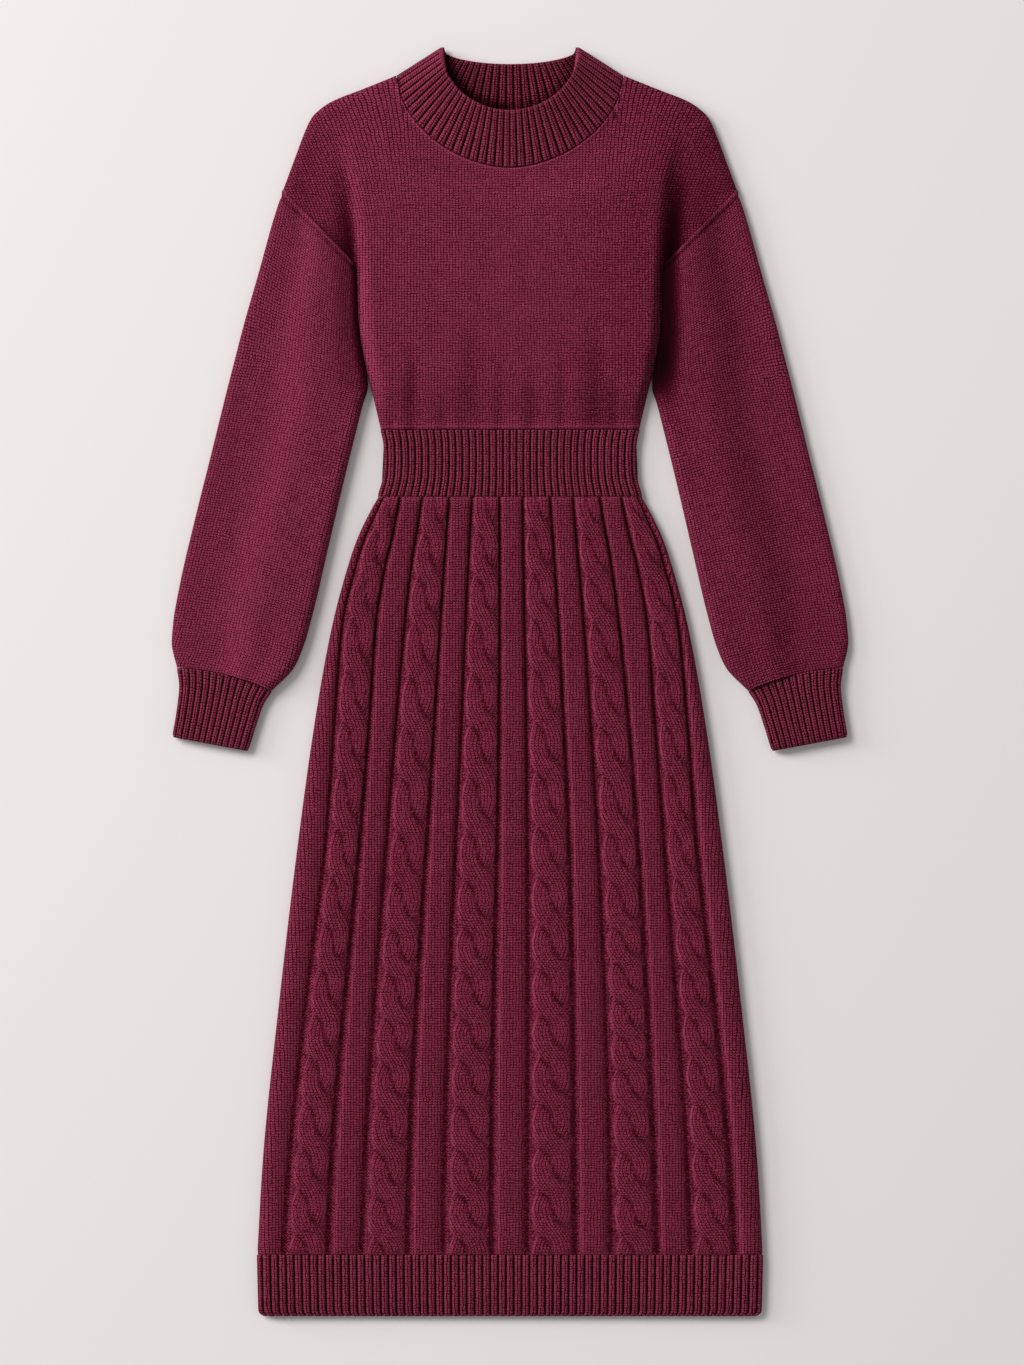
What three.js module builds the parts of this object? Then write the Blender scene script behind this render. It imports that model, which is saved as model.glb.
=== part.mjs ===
// A long-sleeved sweater dress knitted in one wine-coloured yarn, laid out flat on its back.
// Units are millimetres: X across the dress, Y from hem to neck, Z up from the surface it lies on.
// Heights in the tables are measured up from the hem edge, halves out from the centre line.

import * as THREE from 'three';

// Driving dimensions
const LENGTH = 1267;
const WALL = 3.4;
const AIR = 3.8;
const SEAM = 0.3;
const ROLL = 9;
const MID = WALL + AIR / 2;
const HEM_TOP = 61;
const WAIST_BOTTOM = 818;
const WAIST_TOP = 885;
const UNDERARM_HEIGHT = 1050;
const UNDERARM_HALF = 153.5;
const SHOULDER_HEIGHT = 1125;
const SHOULDER_HALF = 226.5;
const NECK_HEIGHT = 1239;
const NECK_HALF = 113;
const NECK_DEPTH = { front: 92, back: 42 };
const COLLAR_HALF = 69;
const COLLAR_DEPTH = { front: 64, back: 16.5 };
const NECK_GAP = 0.8;
const NECK_POWER = 1.1;
const NECK_STEPS = 12;
const UNDERARM_LIFT = 0.3;
const NECK_OPEN = 0.95;
const SLEEVE_GAP = 1.2;
const COLLAR_LIFT = 6;
const COLLAR_ROLL = 6;

// Raised knitting: heights over the plain cloth, ribs on the front of each band, cables each side
// of the centre, the level share of a flat panel's width, and the least width beside the side seam
const RIB_RISE = 0.9;
const RIB_SINK = -0.9;
const FLAT_RISE = 2.4;
const STRAND_RISE = 3.6;
const CROSSING_LIFT = 1.0;
const STRAND_WIDTH = { apart: 0.54, crossing: 0.62 };
const RIBS = { hem: 65, waist: 38, cuff: 14, neckFront: 38, neckBack: 33 };
const CABLE_COLUMNS = 3;
const FLAT_TOP = 0.85;
const SEAM_STRIP = 4;

// The skirt flares from waist to hem, and its pattern widens with it: half its width, how far the
// middle of each groove is from the centre line, and how wide the grooves are
const SKIRT = [
  { height: 61, half: 252.5, a: 17.6, b: 66, c: 101.5, d: 147.5, e: 181.3, f: 225.5, gap: 8.4 },
  { height: 155, half: 247, a: 17.7, b: 65, c: 99.8, d: 144.4, e: 177.3, f: 219.7, gap: 8.2 },
  { height: 315, half: 230.5, a: 16.9, b: 61.7, c: 93.8, d: 136.1, e: 165.4, f: 203.6, gap: 7.1 },
  { height: 475, half: 211.5, a: 14.9, b: 56.5, c: 85.2, d: 125.3, e: 151.7, f: 185, gap: 6 },
  { height: 600, half: 194, a: 13.5, b: 50.7, c: 77.5, d: 115.5, e: 142, f: 175.6, gap: 4.8 },
  { height: 690, half: 177.5, a: 12.5, b: 46.5, c: 71.8, d: 107, e: 135.6, f: 167.5, gap: 4 },
  { height: 755, half: 160, a: 12, b: 42.8, c: 66.8, d: 99, e: 124.5, f: 152, gap: 3.7 },
  { height: 780, half: 151, a: 11.8, b: 41.3, c: 64.7, d: 94.6, e: 118, f: 143.5, gap: 3.6 },
  { height: 818, half: 132, a: 11.7, b: 38.8, c: 61.8, d: 88.5, e: 110.5, f: 126, gap: 3.5 },
];

// How many times the two strands of each cable have crossed, counted down from the waistband
const CROSSINGS = [
  { height: 61, turn: 16.5 },
  { height: 349, turn: 10 },
  { height: 490, turn: 7 },
  { height: 698, turn: 3 },
  { height: 818, turn: 0.33 },
];

const HEM = [
  { height: 0, half: 251 },
  { height: 61, half: 252.5 },
];

const WAIST = [
  { height: 818, half: 132 },
  { height: 840, half: 126.2 },
  { height: 855, half: 125.5 },
  { height: 870, half: 126 },
  { height: 885, half: 129 },
];

const BODICE_SIDE = [
  { height: 885, half: 129 },
  { height: 915, half: 136 },
  { height: 945, half: 143.5 },
  { height: 990, half: 151 },
  { height: 1050, half: 153.5 },
];

const SHOULDER = [
  { half: 113, height: 1239 },
  { half: 148, height: 1225 },
  { half: 178, height: 1213 },
  { half: 190, height: 1205 },
  { half: 198, height: 1197 },
  { half: 204, height: 1185 },
  { half: 215, height: 1156 },
  { half: 226.5, height: 1125 },
];

// Sections across the sleeve, from the armhole seam down to the cuff: its outer and inner edges
const SLEEVE = [
  { step: 0, outer: 226.7, outerHeight: 1124.8, inner: 153.7, innerHeight: 1049.8 },
  { step: 1, outer: 237, outerHeight: 1093, inner: 153.8, innerHeight: 1018 },
  { step: 2, outer: 250, outerHeight: 1046, inner: 151.5, innerHeight: 984 },
  { step: 3, outer: 266, outerHeight: 990, inner: 146, innerHeight: 948 },
  { step: 4, outer: 282, outerHeight: 928, inner: 147, innerHeight: 908 },
  { step: 5, outer: 300, outerHeight: 855, inner: 168, innerHeight: 825 },
  { step: 6, outer: 315, outerHeight: 795, inner: 182, innerHeight: 765 },
  { step: 7, outer: 329, outerHeight: 735, inner: 196, innerHeight: 705 },
  { step: 8, outer: 336.5, outerHeight: 693, inner: 206.5, innerHeight: 668 },
  { step: 9, outer: 338, outerHeight: 672, inner: 216, innerHeight: 647 },
  { step: 10, outer: 332.7, outerHeight: 647.3, inner: 237.8, innerHeight: 624.3 },
];

const CUFF = [
  { step: 0, outer: 332.5, outerHeight: 647, inner: 238, innerHeight: 624 },
  { step: 1, outer: 330, outerHeight: 629, inner: 246.5, innerHeight: 611 },
  { step: 2, outer: 332, outerHeight: 608, inner: 253, innerHeight: 593 },
  { step: 3, outer: 337, outerHeight: 578, inner: 262, innerHeight: 564 },
];
const CUFF_BOW = 5;

// Largest soft folds of the front layer: ridges, or troughs where the rise is negative. Across is
// from outer (-1) to inner (1) edge on a sleeve, and from the centre line on the bodice.
const SLEEVE_FOLDS = [
  { from: -6, to: 16, across: -0.55, spread: 0.38, rise: -1.7 },
  { from: -3.5, to: 4.5, across: 0.82, spread: 0.26, rise: -3.1 },
  { from: 6.5, to: 11, across: 0.5, spread: 0.14, rise: -1.8 },
];
const BODICE_FOLDS = [
  { from: 940, to: 1175, across: -164, spread: 9, rise: -3.3 },
  { from: 940, to: 1175, across: 164, spread: 9, rise: -3.3 },
  { from: 1000, to: 1250, across: -205, spread: 22, rise: -1.6 },
  { from: 1000, to: 1250, across: 205, spread: 22, rise: -1.6 },
  { from: 850, to: 975, across: -97, spread: 7, rise: -1.3 },
  { from: 860, to: 1000, across: -38, spread: 10, rise: -1.1 },
  { from: 850, to: 950, across: 22, spread: 7, rise: -0.9 },
  { from: 850, to: 990, across: 86, spread: 9, rise: -1.3 },
];

// A smooth curve through two columns of a table, with no overshoot between its rows
function through(table, from, to) {
  const at = table.map((row) => row[from]);
  const value = table.map((row) => row[to]);
  const last = at.length - 1;
  const slope = (i) => (value[i + 1] - value[i]) / (at[i + 1] - at[i]);
  const tangent = at.map((_, i) => {
    const before = slope(Math.max(i - 1, 0));
    const after = slope(Math.min(i, last - 1));
    return before * after > 0 ? (2 * before * after) / (before + after) : 0;
  });
  return (v) => {
    const next = at.findIndex((end) => v <= end);
    const i = next < 0 ? last - 1 : Math.max(next - 1, 0);
    const width = at[i + 1] - at[i];
    const t = THREE.MathUtils.clamp((v - at[i]) / width, 0, 1);
    const blend = t * t * (3 - 2 * t);
    const bend = t * (1 - t) * width;
    return value[i] * (1 - blend) + value[i + 1] * blend
      + bend * ((1 - t) * tangent[i] - t * tangent[i + 1]);
  };
}

const skirt = {
  half: through(SKIRT, 'height', 'half'),
  grooves: ['a', 'b', 'c', 'd', 'e', 'f'].map((key) => through(SKIRT, 'height', key)),
  gap: through(SKIRT, 'height', 'gap'),
  turn: through(CROSSINGS, 'height', 'turn'),
};
const hemHalf = through(HEM, 'height', 'half');
const waistHalf = through(WAIST, 'height', 'half');
const sideHalf = through(BODICE_SIDE, 'height', 'half');
const shoulderHeight = through(SHOULDER, 'half', 'height');

function spread(from, to, steps) {
  return Array.from({ length: steps + 1 }, (_, i) => from + ((to - from) * i) / steps);
}

function bump(offset, width) {
  return Math.exp(-0.5 * (offset / width) ** 2);
}

function fold(list, along, across) {
  return list.reduce((sum, row) => {
    const t = THREE.MathUtils.clamp((along - row.from) / (row.to - row.from), 0, 1);
    return sum + row.rise * Math.sin(Math.PI * t) * bump(across - row.across, row.spread);
  }, 0);
}

// Closed wall between a fine outer grid and a plain inner grid of points, joined round their edges
function wallBetween(outer, inner, ring) {
  const points = [];
  const faces = [];
  const place = (grid) => grid.map((row) => row.map((point) => points.push(point) - 1));
  const grids = [place(outer), place(inner)];
  grids.forEach((grid, flipped) => {
    for (let i = 0; i < grid.length - 1; i += 1) {
      const columns = grid[i].length;
      for (let j = 0; j < columns - (ring ? 0 : 1); j += 1) {
        const k = (j + 1) % columns;
        const [a, b, c, d] = [grid[i][j], grid[i][k], grid[i + 1][k], grid[i + 1][j]];
        if (flipped) faces.push([a, c, b], [a, d, c]);
        else faces.push([a, b, c], [a, c, d]);
      }
    }
  });
  const edge = (grid, side) => {
    if (side === 'right') return grid.map((row) => row[row.length - 1]);
    if (side === 'left') return grid.map((row) => row[0]).reverse();
    const row = side === 'bottom' ? grid[0] : [...grid[grid.length - 1]].reverse();
    return ring ? [...row, row[0]] : row;
  };
  const sides = ring ? ['bottom', 'top'] : ['bottom', 'right', 'top', 'left'];
  for (const side of sides) {
    const a = edge(grids[0], side);
    const b = edge(grids[1], side);
    faces.push(...stripBetween(points, a, b));
  }
  return solidFrom(points, faces);
}

// Triangles between two lines of points that run side by side, in step with their lengths
function stripBetween(points, a, b) {
  const travel = (line) => {
    const done = [0];
    for (let i = 1; i < line.length; i += 1) {
      const step = Math.hypot(...points[line[i]].map((v, axis) => v - points[line[i - 1]][axis]));
      done.push(done[i - 1] + step);
    }
    return done.map((v) => v / done[done.length - 1]);
  };
  const [onA, onB] = [travel(a), travel(b)];
  const faces = [];
  let i = 0;
  let j = 0;
  while (i < a.length - 1 || j < b.length - 1) {
    const moveA = j === b.length - 1 || (i < a.length - 1 && onA[i + 1] <= onB[j + 1]);
    if (moveA) {
      faces.push([a[i], b[j], a[i + 1]]);
      i += 1;
    } else {
      faces.push([a[i], b[j], b[j + 1]]);
      j += 1;
    }
  }
  return faces;
}

// Geometry from points and faces, turned so that every face looks out
function solidFrom(points, faces) {
  const corner = (i) => new THREE.Vector3(...points[i]);
  const volume = faces.reduce(
    (sum, [a, b, c]) => sum + corner(a).dot(corner(b).cross(corner(c))), 0);
  const index = volume > 0 ? faces.flat() : faces.flatMap(([a, b, c]) => [a, c, b]);
  const geometry = new THREE.BufferGeometry();
  geometry.setAttribute('position', new THREE.Float32BufferAttribute(points.flat(), 3));
  geometry.setIndex(index);
  geometry.computeVertexNormals();
  return geometry;
}

// Outside of a flattened tube, by the distance walked from its centre: along, then round its edge
const EDGE_ARC = (Math.PI / 2) * Math.sqrt((ROLL ** 2 + MID ** 2) / 2);

function walkLength(half) {
  return half - ROLL + EDGE_ARC;
}

function walk(distance, half) {
  const past = Math.abs(distance) - (half - ROLL);
  const angle = (THREE.MathUtils.clamp(past / EDGE_ARC, 0, 1) * Math.PI) / 2;
  const straight = past > 0 ? half - ROLL : Math.abs(distance);
  return { side: Math.sign(distance), straight, out: Math.sin(angle), up: Math.cos(angle) };
}

// One point of a layer: front or back, on its outer or inner face, raised along its own slope by a
// rise, and moved up or down with the whole layer by a shift
function layerPoint(place, face, rise, shift) {
  const reach = (face.inner ? AIR / 2 : MID) - SEAM / 2 + rise;
  const roll = (face.inner ? ROLL - WALL : ROLL) + rise;
  const x = place.side * (place.straight + roll * place.out);
  const z = SEAM / 2 + (reach + shift) * place.up;
  return [x, face.front ? MID + z : MID - z];
}

// Band or skirt panel between two level seams; columns(height) gives distances and rises
function levelPanel(heights, halfAt, columns, front, edgeRise) {
  const rowOf = (list, face) => (height) => {
    const half = halfAt(height) - edgeRise;
    return list(height, half).map(([distance, rise]) => {
      const [x, z] = layerPoint(walk(distance, half), face, rise, 0);
      return [x, height - LENGTH / 2, z];
    });
  };
  const outer = heights.map(rowOf(columns, { front, inner: false }));
  const plainHeights = heights.filter((_, i) => i % 6 === 0 || i === heights.length - 1);
  const inner = plainHeights.map(rowOf(plainColumns, { front, inner: true }));
  return wallBetween(outer, inner, false);
}

function plainColumns(height, half) {
  const reach = walkLength(half);
  const out = [reach, reach - EDGE_ARC / 3, reach - (2 * EDGE_ARC) / 3, half - ROLL, half / 2];
  const left = out.map((distance) => [-distance, 0]);
  const right = [...out].reverse().map((distance) => [distance, 0]);
  return [...left, [0, 0], ...right];
}

// One rib is a narrow groove and a broad ridge between these two shares of its width
const RIDGE = [0.3, 0.7];

function ribColumns(count) {
  return (height, half) => {
    const reach = walkLength(half);
    const pitch = (2 * reach) / count;
    const list = [];
    for (let i = 0; i < count; i += 1) {
      list.push([i * pitch - reach, RIB_SINK]);
      for (const part of RIDGE) list.push([(i + part) * pitch - reach, RIB_RISE]);
    }
    list.push([reach, RIB_SINK]);
    return list;
  };
}

// Two strands of a cable: the left one always crosses over to the right on the way down
function cableRise(across, turn) {
  const phase = turn - Math.round(turn);
  const crossing = Math.cos(Math.PI * phase) ** 2;
  const path = 0.5 * Math.sin(Math.PI * phase);
  const width = THREE.MathUtils.lerp(STRAND_WIDTH.apart, STRAND_WIDTH.crossing, crossing);
  const strand = (centre) => Math.sqrt(Math.max(0, 1 - ((across - centre) / width) ** 2));
  const over = strand(path) * STRAND_RISE + (strand(path) > 0 ? CROSSING_LIFT * crossing : 0);
  const under = strand(-path) * STRAND_RISE - CROSSING_LIFT * crossing;
  return Math.max(over, under, 0);
}

// The skirt's columns: raised flat panels and cables, with low grooves between them. Towards the
// waist the last cable narrows and the flat panel beside the side seam all but disappears.
function skirtColumns(height, half) {
  const reach = walkLength(half);
  const gap = skirt.gap(height) / 2;
  const grooves = skirt.grooves.map((place) => Math.min(place(height), reach - SEAM_STRIP));
  const turn = skirt.turn(height);
  const columns = [[FLAT_TOP * (grooves[0] - gap), () => FLAT_RISE]];
  for (let n = 0; n < CABLE_COLUMNS; n += 1) {
    const [from, to, next] = grooves.slice(2 * n);
    const cable = (to - from) / 2 - gap;
    columns.push([from, () => 0]);
    for (const across of [-0.75, -0.4, 0, 0.4, 0.75]) {
      const distance = (from + to) / 2 + across * cable;
      columns.push([distance, (side) => cableRise(across * side, turn)]);
    }
    columns.push([to, () => 0]);
    if (n < CABLE_COLUMNS - 1) {
      const flat = (next - to) / 2 - gap;
      for (const edge of [-FLAT_TOP, FLAT_TOP]) {
        columns.push([(to + next) / 2 + edge * flat, () => FLAT_RISE]);
      }
    }
  }
  const last = grooves[2 * CABLE_COLUMNS - 1];
  for (const part of [0.3, 0.6, 0.8, 1]) {
    columns.push([last + part * (reach - last), () => FLAT_RISE]);
  }
  const left = [...columns].reverse().map(([distance, rise]) => [-distance, rise(-1)]);
  const right = columns.map(([distance, rise]) => [distance, rise(1)]);
  return [...left, ...right];
}

function skirtPanel(front) {
  const rows = front ? 48 : 12;
  const heights = spread(HEM_TOP + SEAM / 2, WAIST_BOTTOM - SEAM / 2, rows);
  const columns = front ? skirtColumns : plainColumns;
  return levelPanel(heights, skirt.half, columns, front, front ? FLAT_RISE : 0);
}

function hemPanel(front) {
  const heights = spread(0, HEM_TOP - SEAM / 2, 1);
  const columns = front ? ribColumns(RIBS.hem) : plainColumns;
  return levelPanel(heights, hemHalf, columns, front, 0);
}

function waistPanel(front) {
  const heights = spread(WAIST_BOTTOM + SEAM / 2, WAIST_TOP - SEAM / 2, 4);
  const columns = front ? ribColumns(RIBS.waist) : plainColumns;
  return levelPanel(heights, waistHalf, columns, front, 0);
}

// Half of the neckline as a hanging arc: angle 0 is the centre, a quarter turn is the shoulder
function neckPoint(angle, half, depth, top, power) {
  const across = Math.sign(angle) * half * Math.abs(Math.sin(angle)) ** power;
  return [across, top - depth * Math.abs(Math.cos(angle)) ** power];
}

// Columns of the bodice, from the left armhole to the right. Straight is the share of the half
// width before the edge turns over, roll the share of the turn, top the height that it ends at.
const BODICE_INSET = SHOULDER_HALF - ROLL;

function bodiceColumns(front, shoulderSteps, rolls) {
  const depth = NECK_DEPTH[front ? 'front' : 'back'] + NECK_GAP;
  const from = NECK_HALF + NECK_GAP;
  const neck = spread(0, Math.PI / 2, NECK_STEPS).map((angle) => {
    const [x, top] = neckPoint(angle, from, depth, NECK_HEIGHT, NECK_POWER);
    return { straight: x / BODICE_INSET, roll: 0, top, open: angle < NECK_OPEN * (Math.PI / 2) };
  });
  const shoulder = spread(from, BODICE_INSET, shoulderSteps).slice(1).map((x) => (
    { straight: x / BODICE_INSET, roll: 0, top: shoulderHeight(x), open: false }));
  const edge = rolls.map((roll) => (
    { straight: 1, roll, top: shoulderHeight(BODICE_INSET + ROLL * roll), open: false }));
  const right = [...neck, ...shoulder, ...edge].map((column) => ({ ...column, side: 1 }));
  const left = right.slice(1).reverse().map((column) => ({ ...column, side: -1 }));
  return [...left, ...right];
}

// Rows of the bodice, from the waistband up: level at first, then with a growing share (lift) of
// the height that shoulders and neckline stand over the outer end of the armhole seam
function bodiceRows(sideSteps, armholeParts) {
  const start = WAIST_TOP + SEAM / 2;
  const side = spread(start, UNDERARM_HEIGHT, sideSteps).map((height) => {
    const up = (height - start) / (UNDERARM_HEIGHT - start);
    return { half: sideHalf(height), height, lift: UNDERARM_LIFT * up ** 2, rolled: up < 1 ? 1 : 0 };
  });
  const armhole = armholeParts.map((part) => ({
    half: THREE.MathUtils.lerp(UNDERARM_HALF, SHOULDER_HALF, part),
    height: THREE.MathUtils.lerp(UNDERARM_HEIGHT, SHOULDER_HEIGHT, part),
    lift: THREE.MathUtils.lerp(UNDERARM_LIFT, 1, part),
    rolled: 0,
  }));
  return [...side, ...armhole];
}

// The cloth turns over at the side seam and along the shoulder, but runs on level at the armhole
// and the neckline. At the shoulder point the inner face is drawn back along the armhole seam.
function bodicePoint(row, column, front, inner) {
  const thin = inner ? WALL : 0;
  const across = column.straight * (row.half - ROLL) + (ROLL - thin * row.rolled) * column.roll;
  const height = row.height + (column.top - SHOULDER_HEIGHT) * row.lift;
  const near = THREE.MathUtils.clamp(1 - (column.top - height) / ROLL, 0, 1);
  const over = column.open ? 0 : near;
  const level = Math.sqrt(1 - Math.max(row.rolled * column.roll, over) ** 2);
  const crease = front ? fold(BODICE_FOLDS, height, across * column.side) : 0;
  const z = SEAM / 2 + ((inner ? AIR / 2 : MID) - SEAM / 2 + crease) * level;
  const toArmhole = Math.max(0, column.straight * BODICE_INSET - NECK_HALF)
    / (BODICE_INSET - NECK_HALF);
  const armhole = Math.atan2(SHOULDER_HEIGHT - UNDERARM_HEIGHT, SHOULDER_HALF - UNDERARM_HALF);
  const back = thin * over;
  const x = column.side * (across - back * toArmhole * Math.cos(armhole));
  const y = height - back * THREE.MathUtils.lerp(1, Math.sin(armhole), toArmhole) - LENGTH / 2;
  return [x, y, front ? MID + z : MID - z];
}

function bodicePanel(front) {
  const fineRows = bodiceRows(5, [0.25, 0.5, 0.7, 0.86, 0.94, 0.985, 1]);
  const fineColumns = bodiceColumns(front, 8, [0.5, 0.85, 1]);
  const plainRows = bodiceRows(front ? 5 : 2, [0.25, 0.5, 0.75, 0.93, 1]);
  const plainColumns = bodiceColumns(front, front ? 8 : 3, [0.6, 1]);
  const grid = (rows, columns, inner) => (
    rows.map((row) => columns.map((column) => bodicePoint(row, column, front, inner))));
  const outer = front ? grid(fineRows, fineColumns, false) : grid(plainRows, plainColumns, false);
  return wallBetween(outer, grid(plainRows, plainColumns, true), false);
}

// Half of the stand-up neckband: a ribbed strip from the neck seam to its brim. The front half
// stands up off the back half towards its brim, and its ribs are outside; the back's show inside.
function neckbandPoint(angle, up, front, inner, rise) {
  const side = front ? 'front' : 'back';
  const base = neckPoint(angle, NECK_HALF, NECK_DEPTH[side], NECK_HEIGHT, NECK_POWER);
  const brim = neckPoint(angle, COLLAR_HALF, COLLAR_DEPTH[side], LENGTH, 1);
  const [x, height] = [0, 1].map((axis) => THREE.MathUtils.lerp(base[axis], brim[axis], up));
  const half = THREE.MathUtils.lerp(NECK_HALF, COLLAR_HALF, up);
  const near = THREE.MathUtils.clamp(1 - (half - Math.abs(x)) / COLLAR_ROLL, 0, 1);
  const lift = front ? COLLAR_LIFT * up : 0;
  const reach = (inner ? AIR / 2 : MID) - SEAM / 2 + rise + lift;
  const z = SEAM / 2 + reach * Math.sqrt(1 - near ** 2);
  const across = x - Math.sign(x) * near * (inner ? WALL : 0);
  return [across, height - LENGTH / 2, front ? MID + z : MID - z];
}

function neckbandPanel(front) {
  const count = front ? RIBS.neckFront : RIBS.neckBack;
  const ribs = spread(-count / 2, count / 2, count);
  const oneRib = (rib) => [[rib, RIB_SINK], ...RIDGE.map((part) => [rib + part, RIB_RISE])];
  const ribbed = ribs.flatMap(oneRib).slice(0, -RIDGE.length);
  const fine = (inner, sign) => [0, 0.5, 1].map((up) => (
    ribbed.map(([rib, rise]) => neckbandPoint((rib / count) * Math.PI, up, front, inner, rise * sign))));
  const plain = (inner) => [0, 0.5, 1].map((up) => (
    spread(-Math.PI / 2, Math.PI / 2, 2 * NECK_STEPS).map((angle) => (
      neckbandPoint(angle, up, front, inner, 0)))));
  return front
    ? wallBetween(fine(false, 1), plain(true), false)
    : wallBetween(plain(false), fine(true, -1), false);
}

// Tube through the sections of a table: walked across the top, round the edge and back below
function tubeOf(table, side, steps, upper, { riseAt, shiftAt }, bows) {
  const read = (key) => through(table, 'step', key);
  const [outerX, outerY, innerX, innerY] = ['outer', 'outerHeight', 'inner', 'innerHeight'].map(read);
  const last = table.length - 1;
  const lower = (count) => spread(1, -1, count).slice(1, -1);
  const sectionOf = (step, top, below, inner) => {
    const a = [outerX(step), outerY(step)];
    const clear = sideHalf(innerY(step)) + SLEEVE_GAP;
    const tucked = innerY(step) > WAIST_TOP && step > 0 ? clear : 0;
    const b = [Math.max(innerX(step), tucked), innerY(step)];
    const half = Math.hypot(b[0] - a[0], b[1] - a[1]) / 2;
    const bow = THREE.MathUtils.lerp(bows[0], bows[1], step / last);
    const reach = walkLength(half);
    const put = (part, front) => {
      const rise = inner || !front ? 0 : riseAt(part, step);
      const shift = front ? shiftAt(part, step) : 0;
      const [across, z] = layerPoint(walk(part * reach, half), { front, inner }, rise, shift);
      const t = 0.5 + across / (2 * half);
      const lift = bow * (1 - (2 * t - 1) ** 2);
      const x = THREE.MathUtils.lerp(a[0], b[0], t);
      const height = THREE.MathUtils.lerp(a[1], b[1], t) + lift;
      const level = Math.abs(part) === 1 ? MID : z;
      return [side * x, height - LENGTH / 2, level];
    };
    return [...top.map((part) => put(part, true)), ...lower(below).map((part) => put(part, false))];
  };
  const outer = spread(0, last, steps).map((step) => sectionOf(step, upper, 8, false));
  const plainTop = [-1, -0.93, -0.84, -0.55, -0.2, 0.2, 0.45, 0.65, 0.84, 0.93, 1];
  const inner = spread(0, last, Math.ceil(steps / 2)).map((step) => (
    sectionOf(step, plainTop, 6, true)));
  return wallBetween(outer, inner, true);
}

function sleeveTube(side) {
  const upper = [-1, -0.97, -0.93, -0.84, -0.6, -0.35, -0.12,
    0.12, 0.35, 0.6, 0.75, 0.84, 0.93, 0.97, 1];
  const shiftAt = (part, step) => fold(SLEEVE_FOLDS, step, part);
  return tubeOf(SLEEVE, side, 16, upper, { riseAt: () => 0, shiftAt }, [0, CUFF_BOW]);
}

function cuffTube(side) {
  const upper = [];
  for (let i = 0; i < RIBS.cuff; i += 1) {
    for (const part of [0, ...RIDGE]) upper.push((2 * (i + part)) / RIBS.cuff - 1);
  }
  upper.push(1);
  const riseAt = (part) => {
    const along = ((part + 1) / 2) * RIBS.cuff;
    const groove = Math.abs(along - Math.round(along)) < 0.1;
    if (Math.abs(part) === 1) return 0;
    return groove ? RIB_SINK : RIB_RISE;
  };
  return tubeOf(CUFF, side, 4, upper, { riseAt, shiftAt: () => 0 }, [CUFF_BOW, 0]);
}

const yarn = { roughness: 0.95, metalness: 0 };
const colours = { plain: 0x662337, skirt: 0x5e2030, rib: 0x571d2d, inside: 0x4a1828 };

function piece(name, geometry, colour) {
  const mesh = new THREE.Mesh(
    geometry, new THREE.MeshStandardMaterial({ ...yarn, color: colours[colour] }));
  mesh.name = name;
  return mesh;
}

const dress = new THREE.Group();
dress.name = 'sweater_dress';
dress.add(
  piece('bodice_front', bodicePanel(true), 'plain'),
  piece('bodice_back', bodicePanel(false), 'plain'),
  piece('neckband_front', neckbandPanel(true), 'rib'),
  piece('neckband_back', neckbandPanel(false), 'inside'),
  piece('waistband_front', waistPanel(true), 'rib'),
  piece('waistband_back', waistPanel(false), 'rib'),
  piece('skirt_front', skirtPanel(true), 'skirt'),
  piece('skirt_back', skirtPanel(false), 'skirt'),
  piece('hem_front', hemPanel(true), 'rib'),
  piece('hem_back', hemPanel(false), 'rib'),
);
for (const [hand, side] of [['left', -1], ['right', 1]]) {
  dress.add(piece(`sleeve_${hand}`, sleeveTube(side), 'plain'));
  dress.add(piece(`cuff_${hand}`, cuffTube(side), 'rib'));
}

export default dress;
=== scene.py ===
import math

import bpy
import numpy as np
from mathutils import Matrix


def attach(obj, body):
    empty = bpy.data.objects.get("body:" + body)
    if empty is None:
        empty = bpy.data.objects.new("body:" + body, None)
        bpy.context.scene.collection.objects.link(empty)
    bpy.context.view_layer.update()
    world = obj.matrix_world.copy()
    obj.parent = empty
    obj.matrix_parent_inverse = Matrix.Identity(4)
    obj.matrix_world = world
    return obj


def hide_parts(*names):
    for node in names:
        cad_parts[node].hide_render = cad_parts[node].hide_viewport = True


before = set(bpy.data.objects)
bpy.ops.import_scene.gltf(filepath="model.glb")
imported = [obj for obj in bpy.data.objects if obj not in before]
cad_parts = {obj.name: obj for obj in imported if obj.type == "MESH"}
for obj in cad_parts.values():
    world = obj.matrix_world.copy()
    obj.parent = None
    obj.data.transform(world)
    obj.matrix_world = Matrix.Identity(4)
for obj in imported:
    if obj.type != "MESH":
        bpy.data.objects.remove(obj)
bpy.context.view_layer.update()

# Skirt: a flared front and back panel, each with seven flat panels, six cables and grooves of reverse
# stitch, knitted in one, joined to the waistband above and the hem band below. Shapes are worked out
# in millimetres, with heights up from the hem's edge, and made metres in the mesh.

# thickness of the cloth, air between the layers, gap at a seam, how wide a side edge rolls over
WALL, AIR, SEAM, ROLL = 3.4, 3.8, 0.3, 9.0
MIDDLE = WALL + AIR / 2
LENGTH = 1267.0
HEM_TOP, WAIST_BOTTOM, WAIST_TOP = 61.0, 818.0, 885.0

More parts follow.
